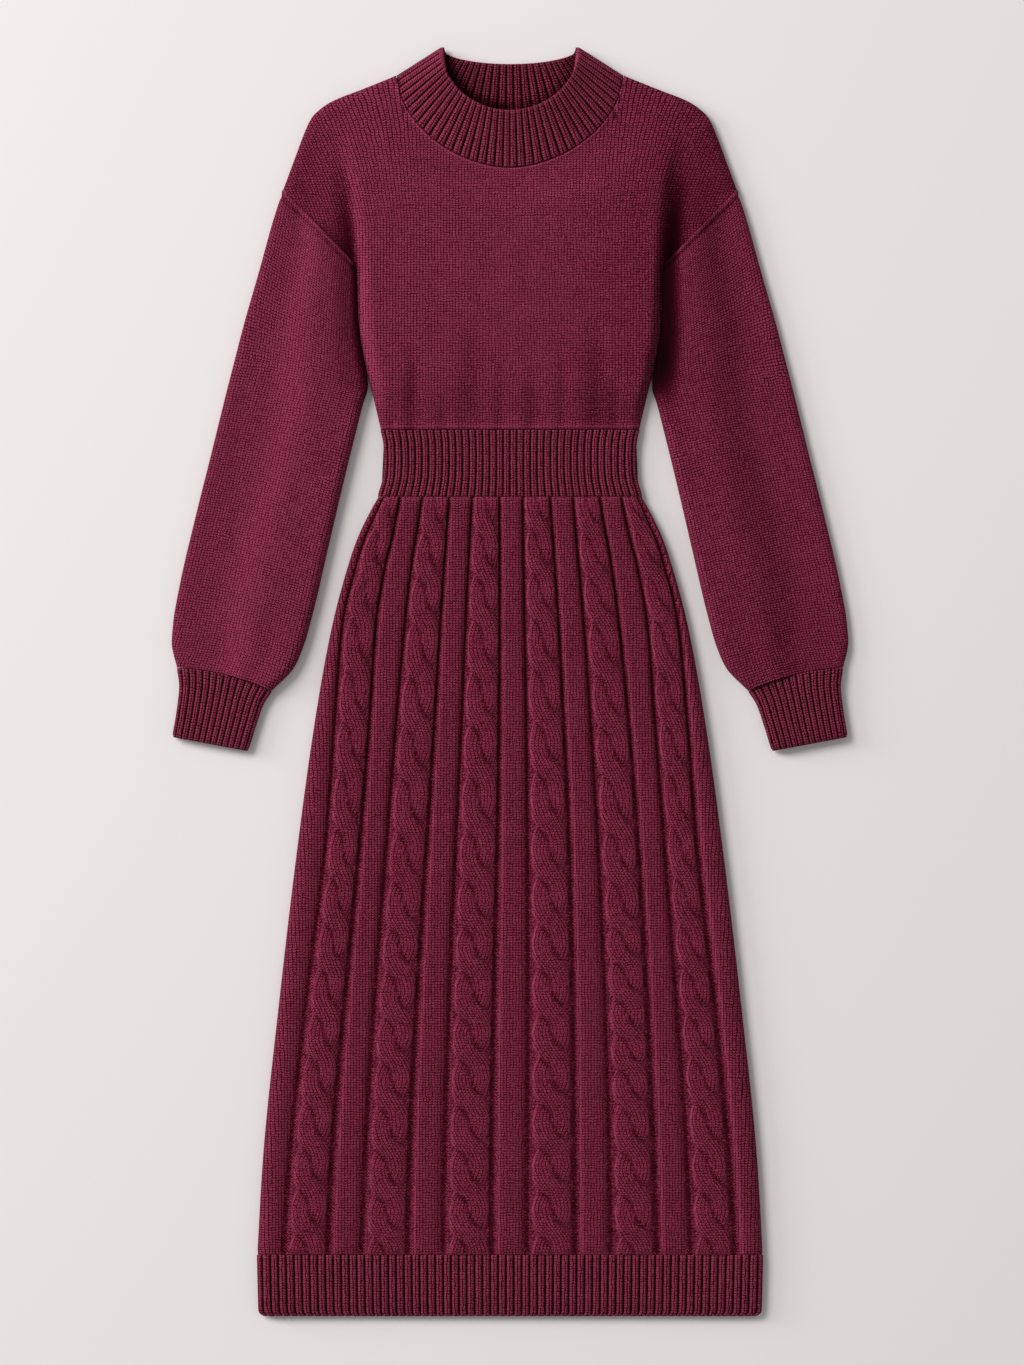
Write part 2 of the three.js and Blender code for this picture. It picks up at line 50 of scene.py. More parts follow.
# height, half width, how far the middle of each groove is from the centre line, the grooves' width
SKIRT = np.array([
    (61, 252.5, 17.6, 66, 101.5, 147.5, 181.3, 225.5, 8.4),
    (155, 247, 17.7, 65, 99.8, 144.4, 177.3, 219.7, 8.2),
    (315, 230.5, 16.9, 61.7, 93.8, 136.1, 165.4, 203.6, 7.1),
    (475, 211.5, 14.9, 56.5, 85.2, 125.3, 151.7, 185, 6),
    (600, 194, 13.5, 50.7, 77.5, 115.5, 142, 175.6, 4.8),
    (690, 177.5, 12.5, 46.5, 71.8, 107, 135.6, 167.5, 4),
    (755, 160, 12, 42.8, 66.8, 99, 124.5, 152, 3.7),
    (780, 151, 11.8, 41.3, 64.7, 94.6, 118, 143.5, 3.6),
    (818, 132, 11.7, 38.8, 61.8, 88.5, 110.5, 126, 3.5),
])
# heights at which the two strands of a cable cross, from the waistband down
CROSSINGS = [788, 743, 698, 647, 595, 545, 490, 440, 393, 349, 303, 260, 215, 170, 127, 83]
# how far each cable runs ahead of that, in crossings, from left to right
AHEAD = [0.06, -0.04, 0.0, 0.05, -0.03, 0.04]
# how high a flat panel and a cable's strand rise, and how far strands lift and dip as they cross
FLAT_RISE, STRAND_RISE, STRAND_LIFT, STRAND_DROP = 2.4, 3.6, 0.9, 1.3
# how far the laid pattern leans to the right, the height where it does most, and its reach
LEAN, LEAN_HEIGHT, LEAN_REACH = 3.3, 550.0, 480.0
# the last groove's middle stays this far inside the side seam
SEAM_STRIP = 4.0


def through(at, value):
    """Curve through the rows of a table: a cubic between each two rows. Its slope at a row is the
    harmonic mean of the slopes beside it, and level where they differ in sign."""
    at, value = np.asarray(at, float), np.asarray(value, float)
    slope = np.diff(value) / np.diff(at)
    before, after = np.r_[slope[0], slope], np.r_[slope, slope[-1]]
    level = before * after <= 0
    tangent = np.where(level, 0, 2 * before * after / np.where(level, 1, before + after))

    def curve(v):
        v = np.clip(v, at[0], at[-1])
        i = np.clip(np.searchsorted(at, v, side="right") - 1, 0, len(slope) - 1)
        width = at[i + 1] - at[i]
        t = (v - at[i]) / width
        blend = t * t * (3 - 2 * t)
        bend = t * (1 - t) * width * ((1 - t) * tangent[i] - t * tangent[i + 1])
        return value[i] * (1 - blend) + value[i + 1] * blend + bend

    return curve


def bell(offset, width):
    """1 at the middle, falling off on both sides as a normal curve of that width."""
    return np.exp(-0.5 * (np.asarray(offset) / width) ** 2)


def near(distance, reach):
    """1 at distance 0, falling to 0 at the reach, smoothly at both ends."""
    t = np.clip(1 - np.asarray(distance) / reach, 0, 1)
    return t * t * (3 - 2 * t)


EDGE_ARC = math.pi / 2 * math.sqrt((ROLL ** 2 + MIDDLE ** 2) / 2)


def on_layer(distance, half, front, rise=0.0, loft=0.0, inner=False):
    """A layer of cloth that lies level and turns over at both side edges: the distance walked from
    the centre line runs level as far as the roll, then a quarter turn round it. Gives x and z."""
    past = np.abs(distance) - (half - ROLL)
    angle = np.clip(past / EDGE_ARC, 0, 1) * math.pi / 2
    straight = np.where(past > 0, half - ROLL, np.abs(distance))
    reach = (AIR / 2 if inner else MIDDLE) - SEAM / 2 + rise + loft
    roll = (ROLL - WALL if inner else ROLL) + rise
    x = np.sign(distance) * (straight + roll * np.sin(angle))
    z = SEAM / 2 + reach * np.cos(angle)
    return x, MIDDLE + z if front else MIDDLE - z


def grid_of(x, height, z):
    """Points in millimetres from an x, a height over the hem edge and a z for each."""
    x, height, z = np.broadcast_arrays(x, height, z)
    return np.stack([x, height - LENGTH / 2, z], axis=-1)


def knit_wall(name, outer, inner, knit, shade, purl, every=(4, 4), ring=False):
    """Closed wall of cloth. The outer grid of points and every so many rows and columns of the inner
    one are two skins, and along each rim a strip joins each outer edge to the nearer inner point.
    knit is the place on the cloth in millimetres, across and along; shade is painted shade and
    painted highlight, how much darker or lighter than its yarn the cloth is coloured there, and purl
    the share of reverse stitch."""
    rows, columns = outer.shape[:2]
    thin = inner[::every[0], ::every[1]]
    wide = columns + 1 if ring else columns
    knit = np.broadcast_to(knit, (rows, wide, 2))
    corner = np.arange(rows * wide).reshape(rows, wide)
    vertex = np.arange(rows * columns).reshape(rows, columns)
    few = corner[::every[0], ::every[1]]
    skins = [(corner, vertex[:, np.arange(wide) % columns])]
    under = np.arange(thin.shape[0] * thin.shape[1]).reshape(thin.shape[:2]) + vertex.size
    skins.append((np.arange(few.size).reshape(few.shape) + corner.size,
                  under[:, np.arange(few.shape[1]) % thin.shape[1]]))
    to_vertex = np.concatenate([points.ravel() for _, points in skins])
    uv = np.concatenate([knit.reshape(-1, 2), knit[::every[0], ::every[1]].reshape(-1, 2)])
    (a, _), (b, _) = skins
    quads = [np.stack([a[:-1, :-1], a[:-1, 1:], a[1:, 1:], a[1:, :-1]], -1).reshape(-1, 4),
             np.stack([b[:-1, :-1], b[1:, :-1], b[1:, 1:], b[:-1, 1:]], -1).reshape(-1, 4)]
    rims = [(a[0], b[0], every[1]), (a[-1, ::-1], b[-1, ::-1], every[1])]
    if not ring:
        rims += [(a[:, -1], b[:, -1], every[0]), (a[::-1, 0], b[::-1, 0], every[0])]
    strips = []
    for far, close, step in rims:
        i = np.arange(len(far) - 1)
        side = i // step + (i % step >= step // 2)
        strips.append(np.stack([far[i + 1], far[i], close[side]], -1))
        g = np.arange(len(close) - 1)
        strips.append(np.stack([far[g * step + step // 2], close[g], close[g + 1]], -1))
    triangles = np.concatenate(strips)
    points = np.concatenate([outer.reshape(-1, 3), thin.reshape(-1, 3)]) / 1000
    square = to_vertex[np.concatenate(quads)]
    p, q, r = points[square[:, 0]], points[square[:, 1]], points[square[:, 2]]
    if np.einsum("ij,ij->i", p, np.cross(q, r)).sum() < 0:
        quads = [faces[:, ::-1] for faces in quads]
        triangles = triangles[:, ::-1]
    corners = np.concatenate([np.concatenate(quads).ravel(), triangles.ravel()])
    sizes = np.r_[np.full(sum(map(len, quads)), 4), np.full(len(triangles), 3)]
    mesh = bpy.data.meshes.new(name)
    mesh.vertices.add(len(points))
    mesh.vertices.foreach_set("co", points.ravel())
    mesh.loops.add(len(corners))
    mesh.loops.foreach_set("vertex_index", to_vertex[corners])
    mesh.polygons.add(len(sizes))
    mesh.polygons.foreach_set("loop_start", np.cumsum(sizes) - sizes)
    mesh.polygons.foreach_set("loop_total", sizes)
    mesh.polygons.foreach_set("use_smooth", np.ones(len(sizes), bool))
    mesh.uv_layers.new(name="knit").data.foreach_set("uv", (uv[corners] / 1000).ravel())
    for label, marks in (("shade", shade), ("purl", purl)):
        marks = np.broadcast_to(marks, (rows, columns))
        marks = np.concatenate([marks.ravel(), marks[::every[0], ::every[1]].ravel()])
        mesh.attributes.new(label, "FLOAT", "POINT").data.foreach_set("value", marks)
    mesh.update(calc_edges=True)
    piece = bpy.data.objects.new(name, mesh)
    bpy.context.scene.collection.objects.link(piece)
    return piece


class Field:
    """A value that changes over the surface: an output socket of a material's nodes. A sum or a
    product with it adds a Math node."""

    def __init__(self, tree, socket):
        self.tree, self.socket = tree, socket

    def node(self, kind, settings=(), values=(), out=0):
        """Another node of the same material: settings first, then its sockets' values or links."""
        made = self.tree.nodes.new(kind)
        for key, value in dict(settings).items():
            setattr(made, key, value)
        for key, value in dict(values).items():
            if isinstance(value, Field):
                self.tree.links.new(value.socket, made.inputs[key])
            else:
                made.inputs[key].default_value = value
        return Field(self.tree, made.outputs[out])

    def math(self, operation, *values):
        return self.node("ShaderNodeMath", {"operation": operation}, enumerate(values))

    def __add__(self, other):
        return self.math("ADD", self, other)

    __radd__ = __add__

    def __mul__(self, other):
        return self.math("MULTIPLY", self, other)

    __rmul__ = __mul__

    def __sub__(self, other):
        return self.math("SUBTRACT", self, other)

    def __rsub__(self, other):
        return self.math("SUBTRACT", other, self)

    def __truediv__(self, other):
        return self.math("DIVIDE", self, other)

    def __pow__(self, other):
        return self.math("POWER", self, other)

    def __abs__(self):
        return self.math("ABSOLUTE", self)

    def part(self):
        """What is left over the whole number below."""
        return self.math("FRACT", self)

    def held(self):
        """Kept between 0 and 1."""
        return self.node("ShaderNodeClamp", (), {"Value": self})


def hump(value):
    """0 at whole numbers and 1 half-way between them, as the square of a cord's section."""
    return 1 - (value.part() * 2 - 1) ** 2


def wool(name, dark, plain, light, wale=3.0, course=2.45, relief=0.7):
    """Knitted yarn. Each stitch is a V of two legs that rise outward, one on another up a wale;
    reverse stitch shows rows of small bumps instead. The yarn is heathered and slightly hairy. Its
    colour has painted shade between the stitches' legs and wales and between the purl bumps, and the
    shade attribute's painted shade and highlight, going on towards near black where that painted
    shade is deepest. wale and course are the stitch's width and height in mm."""
    made = bpy.data.materials.new(name)
    made.use_nodes = True
    tree = made.node_tree
    shader = tree.nodes["Principled BSDF"]
    start = Field(tree, shader.outputs[0])
    place = start.node("ShaderNodeUVMap", {"uv_map": "knit"})
    across = start.node("ShaderNodeSeparateXYZ", (), {0: place}, out=0) * (1000 / wale)
    along = start.node("ShaderNodeSeparateXYZ", (), {0: place}, out=1) * (1000 / course)
    own = start.node("ShaderNodeTexCoord", out=3)
    sway = start.node("ShaderNodeTexNoise", (), {"Vector": own, "Scale": 110.0, "Detail": 2.0})
    across = across + (sway - 0.5) * 0.9
    along = along + (sway - 0.5) * 1.5
    leg = abs(across.part() - 0.5) * 2
    yarn = hump(along - leg * 0.5)
    stitch = (1 - leg ** 3 * 0.8) * (1 - (1 - leg) ** 4 * 0.35) * (yarn * 0.65 + 0.35)
    bumps = 0.3 + hump(along * 0.85 - leg * 0.7) * 0.55
    purl = start.node("ShaderNodeAttribute", {"attribute_name": "purl"}, out=2).held()
    shade = start.node("ShaderNodeAttribute", {"attribute_name": "shade"}, out=2)
    knit = stitch * (1 - purl) + bumps * purl
    hair = start.node("ShaderNodeTexNoise", (), {
        "Vector": own, "Scale": 640.0, "Detail": 2.0, "Roughness": 0.7}) - 0.5
    uneven = start.node("ShaderNodeTexNoise", (), {
        "Vector": own, "Scale": 300.0, "Detail": 1.0, "Roughness": 0.6}) - 0.5
    heather = start.node("ShaderNodeTexNoise", (), {
        "Vector": own, "Scale": 45.0, "Detail": 4.0, "Roughness": 0.6}) - 0.5
    # tone: painted shade of the stitch relief, the yarn's hair, unevenness and heather, and the shade
    # attribute's painted shade and highlight
    tone = 0.5 + (knit - 0.55) * 2.1 + hair * (purl * 0.5 + 2)
    tone = tone + uneven * 0.5 + heather * 0.3 + shade * 0.5
    low = start.node("ShaderNodeMix", {"data_type": "RGBA"}, {
        0: (tone * 2).held(), 6: (*dark, 1), 7: (*plain, 1)}, out=2)
    colour = start.node("ShaderNodeMix", {"data_type": "RGBA"}, {
        0: (tone * 2 - 1).held(), 6: low, 7: (*light, 1)}, out=2)
    # where the painted shade is deepest, the colour goes on towards near black
    deepest_shade = start.node("ShaderNodeMix", {"data_type": "RGBA"}, {
        0: (shade * -0.35 - 0.5).held(), 6: colour, 7: (dark[0] * 0.2, 0, dark[2] * 0.2, 1)}, out=2)
    surface = knit + hair * 1.6 + uneven
    normal = start.node("ShaderNodeBump", (), {
        "Height": surface, "Strength": 1.0, "Distance": relief / 1000})
    tree.links.new(deepest_shade.socket, shader.inputs["Base Color"])
    tree.links.new(normal.socket, shader.inputs["Normal"])
    shader.inputs["Roughness"].default_value = 0.95
    shader.inputs["Specular IOR Level"].default_value = 0.04
    shader.inputs["Sheen Weight"].default_value = 0.03
    shader.inputs["Sheen Roughness"].default_value = 0.5
    shader.inputs["Sheen Tint"].default_value = (0.9, 0.35, 0.45, 1)
    return made


cable_wool = wool(
    "Cabled wool", (0.026, 0.0004, 0.003), (0.124, 0.0074, 0.0240), (0.265, 0.039, 0.082))

skirt_half, *skirt_grooves, skirt_gap = [through(SKIRT[:, 0], column) for column in SKIRT.T[1:]]
crossed = through([HEM_TOP, *CROSSINGS[::-1], WAIST_BOTTOM], [16.5, *range(16, 0, -1), 0.33])


def walk_length(half):
    """How far it is along the cloth from the centre line to the side seam."""
    return half - ROLL + EDGE_ARC


def cable(across, turn):
    """Two strands of a cable, across from -1 to 1. They lie side by side and change places at each
    crossing, along a hyperbolic tangent, and each section is a flattened arch. The strand that goes
    from left to right on the way down is lifted there, and the other dips under it. Between the
    crossings they fill one broad arch. Gives rise, wale offset, and painted shade and highlight."""
    phase = turn - np.round(turn)
    crossing = np.cos(np.pi * phase) ** 4
    path = 0.54 * np.tanh(3.1 * phase)
    over_width, under_width = 0.56 + 0.26 * crossing, 0.54 + 0.12 * crossing
    arch = lambda q: np.sqrt(np.maximum(0, 1 - np.abs(q) ** 4.5))
    over_arch, under_arch = arch((across - path) / over_width), arch((across + path) / under_width)
    over = over_arch * STRAND_RISE + (over_arch > 0) * STRAND_LIFT * crossing
    under = under_arch * STRAND_RISE - STRAND_DROP * crossing
    on_top = over >= under
    filled = 0.9 * arch(across / 1.04) * STRAND_RISE * (1 - crossing)
    rise = np.maximum(np.maximum(over, under), filled)
    wale = np.where(on_top, across - path, across + path)
    side = np.where(phase < 0, 1, -1)
    # painted shade in the slits where a strand dives under the other, over the strand tucked under
    # and in low places; painted highlight along the cable's outline
    open_part = bell(phase + 0.29, 0.1) + 0.6 * bell(phase - 0.27, 0.12)
    slit_shade = bell(across - path - side * over_width, 0.05) * np.minimum(open_part * 1.3, 1)
    tucked_shade = bell(across + path, 0.35) * ~on_top * crossing * np.where(phase < 0, 0.4, 1.1)
    right, left = np.maximum(path + over_width, under_width - path), 0
    left = np.minimum(path - over_width, -path - under_width)
    outline_highlight = bell(across - right + 0.07, 0.045) + bell(across - left - 0.07, 0.045)
    low = np.clip(1 - rise / (0.5 * STRAND_RISE), 0, 1)
    return rise, wale, 0.9 * outline_highlight - 1.3 * slit_shade - 0.5 * tucked_shade - 0.4 * low


# the pieces that half the skirt is made of, from the centre out, and their columns of faces
STEPS = [("flat", 6), ("groove", 4), ("cable", 22), ("groove", 4), ("flat", 10), ("groove", 4),
         ("cable", 22), ("groove", 4), ("flat", 10), ("groove", 4), ("cable", 22), ("groove", 4),
         ("flat", 12)]


def skirt_relief(height, half, front, fine):
    """The skirt's pattern along each level row: for columns of flat panel, groove and cable it gives
    the distance from the centre line, the rise, the place on the cloth, painted shade and highlight,
    and purl. As laid, the pattern leans a few millimetres to the right between waist and hem."""
    reach, gap = walk_length(half), skirt_gap(height) / 2
    middles = [np.minimum(place(height), reach - SEAM_STRIP) for place in skirt_grooves]
    knots = np.stack([0 * gap, *[m + way * gap for m in middles for way in (-1, 1)], reach], 1)
    parts = [np.linspace(0, 1, max(2, round(count * fine)) + 1)[:-1] for _, count in STEPS]
    at = np.concatenate([np.full(len(part), k) for k, part in enumerate(parts)] + [[len(STEPS) - 1]])
    at = at.astype(int)
    t = np.concatenate([*parts, [1.0]])
    t = 0.6 * t + 0.2 * (1 - np.cos(np.pi * t))
    distance = knots[:, at] * (1 - t) + knots[:, at + 1] * t
    at, t = np.r_[at[:0:-1], at], np.r_[t[:0:-1], t]
    side = np.r_[-np.ones(distance.shape[1] - 1), np.ones(distance.shape[1])]
    distance = np.concatenate([-distance[:, :0:-1], distance], 1)
    lean = LEAN * near(np.abs(height - LEAN_HEIGHT), LEAN_REACH)[:, None]
    distance = distance + lean * (1 - (distance / reach[:, None]) ** 6)
    kind = np.array([name for name, _ in STEPS])[at]
    spot = np.where(at == 0, t, np.where(at == len(STEPS) - 1, t - 1, 2 * t - 1))
    flats = FLAT_RISE * (1 - np.abs(spot) ** 7)
    depth = 0.7 + 0.9 * near(WAIST_BOTTOM - height, 400)[:, None]
    grooves = -depth * np.sqrt(np.maximum(0, 1 - (2 * t - 1) ** 2))
    column = (side * (at // 4 + 0.5) + 2.5).astype(int)
    ahead = np.array(AHEAD)[np.clip(column, 0, 5)]
    turn = crossed(height)[:, None] + ahead
    hurried = np.clip((393 - height) / (393 - 210), 0, 1)[:, None] * (column == 4)
    across = side * (2 * t - 1) * (1 if front else -1)
    rise, wale, marks = cable(across, turn + hurried)
    rise = np.where(kind == "cable", rise, np.where(kind == "flat", flats, grooves))
    seam = 1 - 0.62 * near(height - HEM_TOP, 6) - 0.6 * near(WAIST_BOTTOM - height, 9)
    rise = rise * seam[:, None]
    strand = (knots[:, at + 1] - knots[:, at]) / 2
    wale = np.where(kind == "cable", wale * strand * 0.85, distance)
    wale = wale + np.where(kind == "cable", 100 * column, 0)
    # painted highlight on each flat panel's edges, stronger on its left edge; painted shade in each
    # groove, darkest a little in from its left end and deeper towards the waist; painted highlight
    # along the hem and waist seams; and the whole skirt a little darker
    edge = np.where(side * spot < 0, 0.9, 0.3) * bell(np.abs(spot) - 0.91, 0.05)
    line = 0.3 + 1.5 * bell(np.where(side > 0, t, 1 - t) - 0.36, 0.13)
    dark = -line * (1.15 + 0.6 * near(WAIST_BOTTOM - height, 560)[:, None])
    shade = np.where(kind == "cable", marks, np.where(kind == "flat", edge, dark))
    seam_highlight = 0.7 * near(height - HEM_TOP, 3) + 0.5 * near(WAIST_BOTTOM - height, 4)
    shade = shade + seam_highlight[:, None] - 0.09
    low = np.clip(1 - rise / (0.35 * STRAND_RISE), 0, 1)
    parted = 0.35 * np.abs(np.sin(np.pi * (turn + hurried))) ** 2
    purl = np.where(kind == "groove", 1, np.where(kind == "cable", np.maximum(low, parted), 0))
    knit = np.stack(np.broadcast_arrays(wale, height[:, None]), -1)
    return distance, rise, knit, shade, purl


def skirt_panel(name, front, rows, fine):
    """The skirt's pattern laid on a level layer that turns over at the side seams. At the back it
    is sunk into the cloth, because it lies pressed flat."""
    height = np.linspace(HEM_TOP + SEAM / 2, WAIST_BOTTOM - SEAM / 2, rows)
    half = skirt_half(height) - (FLAT_RISE if front else 0)
    distance, rise, knit, shade, purl = skirt_relief(height, half, front, fine)
    if not front:
        rise = 0.45 * np.minimum(rise - FLAT_RISE, 0)
    x, z = on_layer(distance, half[:, None], front, rise)
    inner_x, inner_z = on_layer(distance, half[:, None], front, inner=True)
    outer = grid_of(x, height[:, None], z)
    inner = grid_of(inner_x, height[:, None], inner_z)
    every = (math.gcd(rows - 1, 5), 4 if (distance.shape[1] - 1) % 4 == 0 else 2)
    return knit_wall(name, outer, inner, knit, shade, purl, every)


def cut_area(height, half):
    """Area of a panel's cut, in square metres, and its width and length in metres."""
    width = 2 * walk_length(half)
    area = float(np.sum((width[1:] + width[:-1]) / 2 * np.diff(height)))
    return (width.max() / 1000, np.ptp(height) / 1000), area / 1e6


def dress_up(piece, node, material, slot, flat, area, rests_on=()):
    piece.data.materials.append(material)
    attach(piece, "root")
    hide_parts(node)
    list(rests_on)


skirt_heights = np.linspace(HEM_TOP, WAIST_BOTTOM, 60)
skirt_cut = cut_area(skirt_heights, skirt_half(skirt_heights))
skirt_front = skirt_panel("Skirt_front", True, 341, 1)
skirt_back = skirt_panel("Skirt_back", False, 171, 0.5)
dress_up(skirt_back, "skirt_back", cable_wool, "cable_knit", *skirt_cut, ["floor"])
dress_up(skirt_front, "skirt_front", cable_wool, "cable_knit", *skirt_cut, ["Skirt_back"])

# Hem: a ribbed band along the bottom of each skirt panel, one knit rib to each narrow purl groove,
# bound off along its lower edge, which pulls each rib's end into a small scallop.
RIB, RIB_RISE, RIB_SINK = 7.0, 1.0, -2.1
hem_half = through([0, 61], [251, 252.5])
rib_wool = wool(
    "Ribbed wool", (0.017, 0.0001, 0.0015), (0.112, 0.0052, 0.0205), (0.265, 0.041, 0.084), 3.5)


def ribs(distance, reach, count, power=3.8):
    """Ribs between -reach and reach: each a crest of two wales, one less the distance from its middle
    to a power, with a narrow groove at both sides. Gives rise, painted shade and highlight, and purl:
    painted highlight on each crest's left wale and less on its right one, and painted shade in the
    grooves and along the line between the two wales."""
    t = ((distance + reach) * count / (2 * reach)) % 1
    crest = 1 - np.abs(2 * t - 1) ** power
    split = bell(t - 0.5, 0.08)
    rise = RIB_SINK + (RIB_RISE - RIB_SINK) * crest - 0.3 * split
    lit = 0.5 * bell(t - 0.26, 0.1) + 0.3 * bell(t - 0.74, 0.09) - 0.15 * split
    return rise, lit - 3.2 * (1 - crest) ** 1.3, (1 - crest) ** 2


def rib_panel(name, height, half, count, front, steps, bound=False):
    """A ribbed band between two level seams. Where it is bound off, the front's lower edge sags on
    to the back, is rounded over, and each rib's end stands out a little below the grooves."""
    from_edge = height - height[0]
    corner = 4 * (1 - np.sqrt(1 - near(from_edge, 7) ** 2)) * bound
    half = (half - corner)[:, None]
    reach = walk_length(half)
    distance = np.linspace(-1, 1, count * steps + 1) * reach
    rise, shade, purl = ribs(distance, reach, count)
    soft = 1 - 0.15 * near(height[-1] - height, 4)[:, None]
    low, sag = np.zeros((len(height), 1)), 0
    # painted highlight: the band is lighter along its seams, and on a bound-off edge the ribs'
    # painted shade gives way to an even lighter tone
    if bound:
        sag = near(from_edge, 18)[:, None] * front
        low = near(from_edge, 3.5)[:, None]
        shade = shade * (1 - low) + 0.2 * low + 0.6 * near(height[-1] - height, 3)[:, None]
    else:
        soft = soft * (1 - 0.6 * near(from_edge, 4)[:, None])
        shade = shade + 0.5 * near(from_edge, 3)[:, None]
    rise = rise * soft - 1.6 * low ** 2
    if not front:
        rise = 0.6 * np.minimum(rise - RIB_RISE, 0)
    x, z = on_layer(distance, half, front, rise, -2.8 * sag)
    inner_x, inner_z = on_layer(distance, half, front, loft=-1.6 * sag, inner=True)
    scallop = -0.7 * low * (rise - rise.min()) / max(np.ptp(rise), 1e-6) * bound
    knit = np.stack(np.broadcast_arrays(distance / reach * count * RIB / 2, height[:, None]), -1)
    outer = grid_of(x, height[:, None] + scallop, z)
    inner = grid_of(inner_x, height[:, None], inner_z)
    return knit_wall(name, outer, inner, knit, shade, purl, (len(height) - 1, steps))


hem_heights = np.r_[0, 0.6, 1.4, 2.4, 3.6, np.linspace(5, HEM_TOP - SEAM / 2, 16)]
hem_cut = cut_area(hem_heights, hem_half(hem_heights))
hem_front = rib_panel("Hem_front", hem_heights, hem_half(hem_heights), 65, True, 10, True)
hem_back = rib_panel("Hem_back", hem_heights, hem_half(hem_heights), 65, False, 6, True)
dress_up(hem_back, "hem_back", rib_wool, "rib_knit", *hem_cut, ["floor"])
dress_up(hem_front, "hem_front", rib_wool, "rib_knit", *hem_cut, ["Hem_back"])

# Waistband: a ribbed band knitted on fewer stitches, which draws in the bodice above it and the
# skirt below it.
waist_half = through([818, 840, 855, 870, 885], [132, 126.2, 125.5, 126, 129])
waist_heights = np.linspace(WAIST_BOTTOM + SEAM / 2, WAIST_TOP - SEAM / 2, 25)
waist_cut = cut_area(waist_heights, waist_half(waist_heights))
waistband_front = rib_panel("Waistband_front", waist_heights, waist_half(waist_heights), 38, True, 12)
waistband_back = rib_panel("Waistband_back", waist_heights, waist_half(waist_heights), 38, False, 8)
dress_up(waistband_back, "waistband_back", rib_wool, "rib_knit", *waist_cut, ["floor"])
dress_up(waistband_front, "waistband_front", rib_wool, "rib_knit", *waist_cut, ["Waistband_back"])

# Bodice: a front and a back panel in plain stocking stitch, joined at the sides and along the
# sloped shoulders. The front is fuller than the back and gathered a little into the waistband.
UNDERARM_HEIGHT, UNDERARM_HALF, UNDERARM_LIFT = 1050.0, 153.5, 0.3
SHOULDER_HEIGHT, SHOULDER_HALF = 1125.0, 226.5
NECK_HEIGHT, NECK_HALF, NECK_GAP, NECK_POWER = 1239.0, 113.0, 0.8, 1.1
NECK_DEPTH = {True: 92.0, False: 42.0}
BODICE_INSET = SHOULDER_HALF - ROLL
side_half = through([885, 915, 945, 990, 1050], [129, 136, 143.5, 151, 153.5])
shoulder_height = through([113, 148, 178, 190, 198, 204, 215, 226.5],
                          [1239, 1225, 1213, 1205, 1197, 1185, 1156, 1125])
# from and to height, place across, spread and rise of each soft fold
BODICE_FOLDS = [
    (940, 1175, -164, 9, -3.3), (940, 1175, 164, 9, -3.3),
    (1000, 1250, -205, 22, -1.6), (1000, 1250, 205, 22, -1.6),
    (850, 975, -97, 5, -2.2), (860, 1000, -38, 9, -1.9), (850, 960, -10, 4, -1.3),
    (850, 950, 22, 5, -1.7), (845, 985, 52, 4, -1.2), (850, 990, 86, 8, -2.1),
    (850, 940, 104, 4, -1.3), (850, 930, -66, 4, -1.2), (850, 925, -120, 4, -1.1),
]
# how far the body stands over the sleeves, and how wide the slope to the left and right one is
BODICE_LOFT, BODICE_SLOPE = 9.0, (16.0, 10.0)
# edge of the body where it falls to the drop shoulder, over heights from the armpit up
body_edge = through([1040, 1060, 1095, 1130, 1160, 1185], [153.5, 155, 158, 163, 169, 174])
plain_wool = wool(
    "Plain wool", (0.035, 0.0008, 0.0060), (0.134, 0.0085, 0.0300), (0.295, 0.043, 0.098))


def folded(folds, along, across):
    """Sum of soft folds: each half a sine wave along its length and a bell across it."""
    total = 0
    for start, end, middle, spread, rise in folds:
        t = np.clip((along - start) / (end - start), 0, 1)
        total = total + rise * np.sin(np.pi * t) * bell(across - middle, spread)
    return total


def neck_arc(angle, half, depth, top, power):
    """Half of the neckline as a hanging arc: angle 0 is the centre, a quarter turn a shoulder."""
    x = np.sign(angle) * half * np.abs(np.sin(angle)) ** power
    return x, top - depth * np.abs(np.cos(angle)) ** power


def off_neckline(x, height, depth):
    """How far a point is outside the neckline, which is a superellipse: its value there less 1,
    over the length of its slope."""
    power = 2 / NECK_POWER
    across, down = x / NECK_HALF, np.maximum(NECK_HEIGHT - height, 0) / depth
    value = (across ** power + down ** power) ** (1 / power) + 1e-6
    slope = np.hypot(across ** (power - 1) / NECK_HALF, down ** (power - 1) / depth)
    return (value - 1) * value ** (power - 1) / np.maximum(slope, 1e-6)


